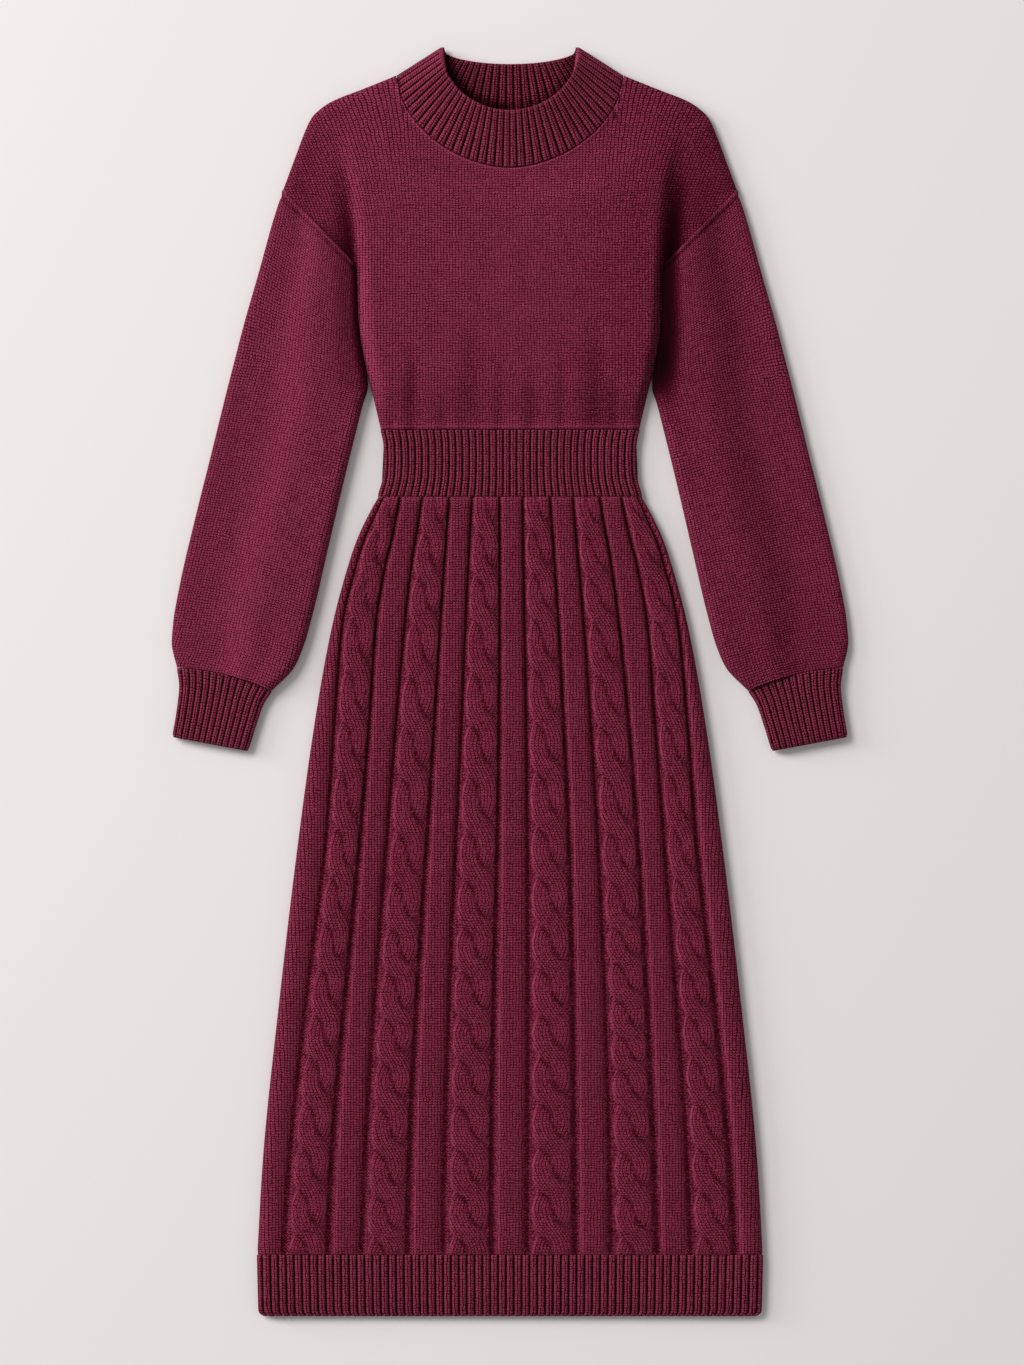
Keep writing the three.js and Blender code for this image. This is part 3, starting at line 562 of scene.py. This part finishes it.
def bodice_panel(name, front, fine):
    """Columns run from neckline and shoulder down to the waistband, rows from side to side. Each
    row lies level at first, and rises with the shoulder line and the neckline above it."""
    depth, start = NECK_DEPTH[front] + NECK_GAP, WAIST_TOP + SEAM / 2
    angle = np.r_[np.linspace(0, 0.93, round(36 * fine)), 1] * np.pi / 2
    neck_x, neck_top = neck_arc(angle, NECK_HALF + NECK_GAP, depth, NECK_HEIGHT, NECK_POWER)
    shoulder_x = np.linspace(NECK_HALF + NECK_GAP, BODICE_INSET, round(32 * fine) + 1)[1:]
    turn = np.sin(np.linspace(0, np.pi / 2, round(8 * fine) + 1)[1:])
    straight = np.r_[neck_x, shoulder_x, np.full(len(turn), BODICE_INSET)] / BODICE_INSET
    roll = np.r_[0 * neck_x, 0 * shoulder_x, turn]
    top = np.r_[neck_top, shoulder_height(shoulder_x), shoulder_height(BODICE_INSET + ROLL * turn)]
    hollow = NECK_HEIGHT - depth * (1 - (neck_x / neck_x[-1]) ** 2)
    smooth = np.r_[hollow, top[len(neck_x):]]
    closed = np.r_[near(0.97 * np.pi / 2 - angle, 0.12), np.ones(len(shoulder_x) + len(turn))]
    side = np.r_[-np.ones(len(top) - 1), np.ones(len(top))]
    straight, roll, top, closed, smooth = [
        np.r_[v[:0:-1], v] for v in (straight, roll, top, closed, smooth)]
    up = np.linspace(0, 1, round(60 * fine) + 1)[:-1]
    part = 1 - (1 - np.linspace(0, 1, round(60 * fine) + 1)) ** 1.6
    height = np.r_[start + up * (UNDERARM_HEIGHT - start),
                   UNDERARM_HEIGHT + part * (SHOULDER_HEIGHT - UNDERARM_HEIGHT)][:, None]
    half = np.where(height < UNDERARM_HEIGHT, side_half(height),
                    UNDERARM_HALF + (SHOULDER_HALF - UNDERARM_HALF)
                    * (height - UNDERARM_HEIGHT) / (SHOULDER_HEIGHT - UNDERARM_HEIGHT))
    lift = np.r_[UNDERARM_LIFT * up ** 2, UNDERARM_LIFT + (1 - UNDERARM_LIFT) * part][:, None]
    rolled = near(10 - (UNDERARM_HEIGHT - height), 10)

    def face(inner):
        thin = WALL if inner else 0
        across = straight * (half - ROLL) + (ROLL - thin * rolled) * roll
        y = height + (smooth - SHOULDER_HEIGHT) * lift + (top - smooth) * lift ** 5
        over = np.clip(1 - (top - y) / ROLL, 0, 1) * closed
        level = np.sqrt(np.maximum(0, 1 - np.maximum(rolled * roll, over) ** 2))
        to_neck = off_neckline(across, y, depth)
        to_top = np.where(across < NECK_HALF, 99, shoulder_height(across) - y)
        edge = np.where(y < UNDERARM_HEIGHT, half, body_edge(y))
        slope = np.where(side < 0, BODICE_SLOPE[0], BODICE_SLOPE[1])
        loft = BODICE_LOFT * (1 - near(edge - across, slope)) * (1 - near(y - start, 50))
        loft = loft * (1 - near(to_neck, 50)) * (1 - near(to_top, 60))
        loft = loft * (1 - near(1200 - y, 90)) * front
        crease = folded(BODICE_FOLDS, y, across * side) if front else 0
        reach = (AIR / 2 if inner else MIDDLE) - SEAM / 2
        ridge = 0
        if front and not inner:
            ridge = 0.9 * bell(to_neck - 1.4, 1.0)
            ridge = ridge - 0.4 * bell(y - start, 1.0) + 0.6 * bell(y - start - 2.5, 1.2)
        z = SEAM / 2 + (reach + loft + crease + ridge) * level
        outward = np.maximum(0, straight * BODICE_INSET - NECK_HALF) / (BODICE_INSET - NECK_HALF)
        seam = math.atan2(SHOULDER_HEIGHT - UNDERARM_HEIGHT, SHOULDER_HALF - UNDERARM_HALF)
        back = thin * over
        x = side * (across - back * outward * math.cos(seam))
        y = y - back * (1 + (math.sin(seam) - 1) * outward)
        return x, y, MIDDLE + z if front else MIDDLE - z

    x, y, z = face(False)
    shade, leant = np.zeros(x.shape), 0
    to_neck = off_neckline(np.abs(x), y, depth)
    if front:
        # painted highlight along the neck seam's ridge and just above the waist seam, a dark line
        # along the waist seam, painted shadow beside the body's edge where it stands over the
        # sleeves, wider and darker on the right, painted highlight on the body's lit left rim,
        # painted shade along the folds, and painted shade growing towards the right
        line = bell(to_neck - 1.4, 1.0) + bell(y - start - 2.5, 1.0)
        beside = bell(np.abs(x) - body_edge(y) - np.where(x > 0, 6, 4), 5)
        beside = beside * near(np.abs(y - 1040), 115) * np.where(x > 0, 3.6, 1.9)
        rim = np.where(y < UNDERARM_HEIGHT, half, body_edge(y)) - np.abs(x)
        lit = bell(rim - 3, 4) * (x < 0) * near(np.abs(y - 1050), 170)
        shade = 0.9 * line - 0.3 * bell(y - start, 0.7) - beside + 0.9 * lit
        shade = shade + 0.25 * folded(BODICE_FOLDS, y, x) - 0.3 * near(150 - x, 130)
        leant = near(230 - np.abs(x), 170) * np.maximum(y - 1090, 0)
    every = (math.gcd(len(height) - 1, 4), 4 if (x.shape[1] - 1) % 4 == 0 else 2)
    knit = np.stack([x - np.sign(x) * 0.4 * leant, y], -1)
    return knit_wall(name, grid_of(x, y, z), grid_of(*face(True)), knit, shade, 0, every)


bodice_flat = (0.47, 0.355)
bodice_front = bodice_panel("Bodice_front", True, 1)
bodice_back = bodice_panel("Bodice_back", False, 0.5)
dress_up(bodice_back, "bodice_back", plain_wool, "plain_knit", bodice_flat, 0.118, ["floor"])
dress_up(bodice_front, "bodice_front", plain_wool, "plain_knit", bodice_flat, 0.112, ["Bodice_back"])

# Neckband: a ribbed strip picked up round the neckline, in a front and a back half. It stands up
# off the shoulders, so the front half's brim lies higher and the back half shows its inside.
COLLAR_HALF, COLLAR_LIFT, COLLAR_ROLL = 69.0, 11.0, 6.0
COLLAR_DEPTH = {True: 64.0, False: 16.5}


def neckband(name, front, count, steps, rows):
    """Rings from the neck seam to the brim, ribbed outside at the front and inside at the back.
    The side edges turn down over the last few millimetres, where the halves meet."""
    angle = np.linspace(-np.pi / 2, np.pi / 2, count * steps + 1)
    up = np.linspace(0, 1, rows)[:, None]
    base = neck_arc(angle, NECK_HALF, NECK_DEPTH[front], NECK_HEIGHT, NECK_POWER)
    brim = neck_arc(angle, COLLAR_HALF, COLLAR_DEPTH[front], LENGTH, 1)
    x, y = [base[k] * (1 - up) + brim[k] * up for k in (0, 1)]
    half = NECK_HALF * (1 - up) + COLLAR_HALF * up
    down = np.clip(1 - (half - np.abs(x)) / COLLAR_ROLL, 0, 1)
    level = np.sqrt(1 - down ** 2)
    rise, shade, purl = ribs(angle, np.pi / 2, count)
    edge = near((1 - up) * 53, 3.5)
    soft = (1 - 0.7 * near(up * 53, 4)) * (1 - 0.8 * edge)
    rise = rise * soft + 0.7 * edge
    # painted highlight on the bound brim, the band a little lighter overall and more so towards the
    # sides at the front; inside the back half, painted shade all over and painted shadow near the
    # front half's brim, darker on the left
    shade = shade * soft + 0.7 * edge + 0.1 + 0.2 * near(NECK_HALF - np.abs(x), 70) * front
    if not front:
        behind = (1 - np.hypot(x / COLLAR_HALF, (LENGTH - y) / COLLAR_DEPTH[True])) * 66
        shade = shade - 0.35 - np.where(x < 0, 1.8, 0.9) * near(behind, 16)
    lift = COLLAR_LIFT * up if front else 0 * up

    def face(inner, rise):
        z = SEAM / 2 + ((AIR / 2 if inner else MIDDLE) - SEAM / 2 + rise + lift) * level
        across = x - np.sign(x) * down * (WALL if inner else 0)
        return grid_of(across, y, MIDDLE + z if front else MIDDLE - z)

    knit = np.stack(np.broadcast_arrays(angle / np.pi * count * RIB, up * 53), -1)
    if front:
        ribbed, plain = face(False, rise), face(True, 0)
    else:
        ribbed, plain = face(True, -rise - 0.4), face(False, 0)
    return knit_wall(name, ribbed, plain, knit, shade, purl, (rows - 1, steps))


neckband_front = neckband("Neckband_front", True, 38, 10, 25)
neckband_back = neckband("Neckband_back", False, 33, 10, 25)
dress_up(neckband_back, "neckband_back", rib_wool, "rib_knit", (0.235, 0.056), 0.0115, ["floor"])
dress_up(neckband_front, "neckband_front", rib_wool, "rib_knit", (0.31, 0.056), 0.0135,
         ["Neckband_back"])

# Sleeves: a tube each, in the same plain stitch, set on along the dropped armhole seam. It hangs
# full down to the wrist, where it is gathered into the cuff and balloons over it.
SLEEVE_GAP, CUFF_BOW = 0.1, 5.0
# sections from armhole to cuff: outer edge and its height, inner edge and its height
SLEEVE = np.array([
    (226.7, 1124.8, 153.7, 1049.8), (237, 1093, 150, 1018), (250, 1046, 148, 984),
    (266, 990, 143, 948), (274, 959, 142, 928), (282, 928, 147.5, 908), (300, 855, 168, 825),
    (315, 795, 182, 765),
    (329, 735, 196, 705), (336.5, 693, 206.5, 668), (338, 672, 216, 647),
    (332.7, 647.3, 237.8, 624.3),
])
# from and to section, place across from outer (-1) to inner (1) edge, spread and rise
SLEEVE_FOLDS = [
    (-6, 17, -0.55, 0.38, -1.7), (-4, 5.5, 0.86, 0.2, -4.6), (7.5, 12, 0.5, 0.14, -1.8),
]

# how far the inner half of a sleeve stands over its flatter outer half
SLEEVE_CREST = 4.5


def tube(name, side, table, rows, columns, look, bows, wide=None):
    """A flattened tube through the sections of a table: each is walked across the top, round the
    edge and back below. look gives rise, loft, shade and purl over the top, and bows how far the
    sections at both ends curve up in the middle. wide is half the width in stitches' millimetres,
    where that is the same all along."""
    step = np.linspace(0, len(table) - 1, rows)[:, None]
    read = [through(np.arange(len(table)), table[:, k]) for k in range(4)]
    outer_x, outer_y, inner_x, inner_y = [curve(step) for curve in read]
    beside = (inner_y > WAIST_TOP) & (step > 0)
    inner_x = np.where(beside, np.maximum(inner_x, side_half(inner_y) + SLEEVE_GAP), inner_x)
    half = np.hypot(inner_x - outer_x, inner_y - outer_y) / 2
    reach = walk_length(half)
    bow = bows[0] + (bows[1] - bows[0]) * step / (len(table) - 1)
    top = np.linspace(-1, 1, columns + 1)
    below = np.linspace(1, -1, columns // 4 + 1)[1:-1]
    rise, loft, shade, purl = np.broadcast_arrays(
        *look(top, step, side), np.zeros((rows, len(top))))[:4]

    def face(inner):
        over = on_layer(top * reach, half, True, 0 if inner else rise, loft, inner)
        under = on_layer(below * reach, half, False, inner=inner)
        across, z = [np.concatenate(pair, 1) for pair in zip(over, under)]
        z[:, [0, len(top) - 1]] = MIDDLE
        t = 0.5 + across / (2 * half)
        x = outer_x + (inner_x - outer_x) * t
        y = outer_y + (inner_y - outer_y) * t + bow * (1 - (2 * t - 1) ** 2)
        return grid_of(side * x, y, z)

    walked = np.r_[top, 2 - below, 3.0] * (reach if wide is None else wide)
    along = np.r_[0, np.cumsum(np.hypot(
        np.diff((outer_x + inner_x)[:, 0]), np.diff((outer_y + inner_y)[:, 0])) / 2)][:, None]
    knit = np.stack(np.broadcast_arrays(side * walked, -along), -1)
    rest = np.zeros((rows, len(below)))
    shade, purl = np.concatenate([shade, rest], 1), np.concatenate([purl, rest], 1)
    outer, count = face(False), len(top) + len(below)
    every = (math.gcd(rows - 1, 4), 5 if count % 5 == 0 else 4 if count % 4 == 0 else 1)
    return knit_wall(name, outer, face(True), knit, shade, purl, every, ring=True)


def sleeve_look(across, step, side):
    """Soft folds along the sleeve, and a raised welt of turned-in cloth below the armhole seam, with
    painted highlight on the welt and painted shade just below it. It has painted shadow where the
    body stands over it, more so on the side away from the light. The crest's outer slope has painted
    highlight on the left sleeve and painted shade on the right one, and the right sleeve has painted
    shade all over, more towards the cuff."""
    seam = bell(step * 26 - 2, 1.3)
    rise = 0.8 * seam - 0.8 * bell(step * 26 - 5.5, 1.5)
    shade = 0.3 * seam - 0.7 * bell(step * 26 - 5, 1.3)
    crest = 0.08 + 0.03 * step + 0.05 * np.sin(1.4 * step)
    loft = folded(SLEEVE_FOLDS, step, across) + SLEEVE_CREST * (1 - near(across - crest + 0.65, 0.65))
    # painted shadow where the body stands over the sleeve, wider and darker on the right
    beside = 2.3 * (1 - near(across - 0.74, 0.24)) + 0.5 * (1 - near(across - 0.3, 0.5))
    if side > 0:
        beside = (3.1 + 1.6 * near(np.abs(step - 3.6), 2.4)) * near(1 - across - 0.12, 0.42)
    beside = beside * near(np.abs(step - 1.2) - 1.5, 3)
    slope = -0.3 * side * bell(across - crest + 0.3, 0.2)
    if side > 0:
        slope = slope - 0.13 - 0.13 * near(11 - step, 4)
    return rise, loft, shade - beside + slope, 0 * across


def sleeve_cut(table):
    """Flat size and area of a tube's cut, opened out: all the way round, and along its middle."""
    round_it = 4 * walk_length(np.hypot(table[:, 0] - table[:, 2], table[:, 1] - table[:, 3]) / 2)
    middle = (table[:, :2] + table[:, 2:]) / 2
    steps = np.hypot(*np.diff(middle, axis=0).T)
    area = float(np.sum((round_it[1:] + round_it[:-1]) / 2 * steps)) / 1e6
    return (float(round_it.max()) / 1000, float(steps.sum()) / 1000), area


for hand, side in (("left", -1), ("right", 1)):
    sleeve = tube(f"Sleeve_{hand}", side, SLEEVE, 241, 120, sleeve_look, (0, CUFF_BOW))
    dress_up(sleeve, f"sleeve_{hand}", plain_wool, "plain_knit", *sleeve_cut(SLEEVE), ["floor"])

# Cuffs: a ribbed tube each at the end of the sleeve, narrower than it, and bound off at the wrist
# edge like the hem.
CUFF = np.array([(332.5, 647, 238, 624), (330, 629, 246.5, 611), (332, 608, 253, 593),
                 (337, 578, 262, 564)], float)


def cuff_look(across, step, side):
    """Fourteen ribs over the top, flattened at the seam and at the bound-off edge, with painted
    highlight along that edge and a dark line along the seam.
    """
    rise, shade, purl = ribs(across, 1, 14)
    end = near((3 - step) * 26, 3.5)
    soft = (1 - 0.7 * near(step * 26, 4)) * (1 - 0.7 * end)
    shade = shade * soft + 0.15 * end - 0.5 * near(step * 26, 2)
    return rise * soft - 1.2 * end ** 2, 0, shade, purl * soft


for hand, side in (("left", -1), ("right", 1)):
    cuff = tube(f"Cuff_{hand}", side, CUFF, 37, 168, cuff_look, (CUFF_BOW, 0), 7 * RIB)
    dress_up(cuff, f"cuff_{hand}", rib_wool, "rib_knit", *sleeve_cut(CUFF), ["floor"])

# Floor: a plain, pale, matt board under the dress.
floor_mesh = bpy.data.meshes.new("floor")
floor_mesh.from_pydata(
    [(-3, -3, -0.0004), (3, -3, -0.0004), (3, 3, -0.0004), (-3, 3, -0.0004)], [], [(0, 1, 2, 3)])
floor = bpy.data.objects.new("floor", floor_mesh)
bpy.context.scene.collection.objects.link(floor)
board = bpy.data.materials.new("Pale board")
board.use_nodes = True
board.node_tree.nodes["Principled BSDF"].inputs["Base Color"].default_value = (0.80, 0.775, 0.765, 1)
board.node_tree.nodes["Principled BSDF"].inputs["Roughness"].default_value = 0.9
board.node_tree.nodes["Principled BSDF"].inputs["Specular IOR Level"].default_value = 0.1
floor_mesh.materials.append(board)

# Light: a wide soft lamp high at the upper left, a lower one that rakes across the knit from the
# left, and pale light from all round. Each lamp: direction, distance, width and power.
world = bpy.data.worlds.new("Pale room")
world.use_nodes = True
world.node_tree.nodes["Background"].inputs["Color"].default_value = (1, 0.985, 0.98, 1)
world.node_tree.nodes["Background"].inputs["Strength"].default_value = 0.38
bpy.context.scene.world = world
LAMPS = [("Soft lamp", (-0.60, 0.44, 0.64), 9.0, 4.4, 600),
         ("Low lamp", (-0.90, 0.32, 0.28), 7.0, 2.6, 255)]
for name, way, distance, size, energy in LAMPS:
    lamp_data = bpy.data.lights.new(name, "AREA")
    lamp_data.shape = "DISK"
    lamp_data.size = size
    lamp_data.energy = energy
    lamp_data.color = (1, 0.98, 0.96)
    lamp = bpy.data.objects.new(name, lamp_data)
    lamp.location = distance * np.array(way) / np.linalg.norm(way)
    lamp.rotation_euler = (-lamp.location).to_track_quat("-Z", "Y").to_euler()
    bpy.context.scene.collection.objects.link(lamp)

# Camera: straight down from far above, with the photograph's height of 1.365 m filling the frame.
HEIGHT_SHOWN, ABOVE = 1.365, 6.0
camera_data = bpy.data.cameras.new("Camera")
camera_data.sensor_fit = "VERTICAL"
camera_data.sensor_height = 24
camera_data.lens = 24 * ABOVE / HEIGHT_SHOWN
camera = bpy.data.objects.new("Camera", camera_data)
camera.location = (0.002, -0.001, ABOVE)
bpy.context.scene.collection.objects.link(camera)
bpy.context.scene.camera = camera
bpy.context.scene.view_settings.view_transform = "Standard"
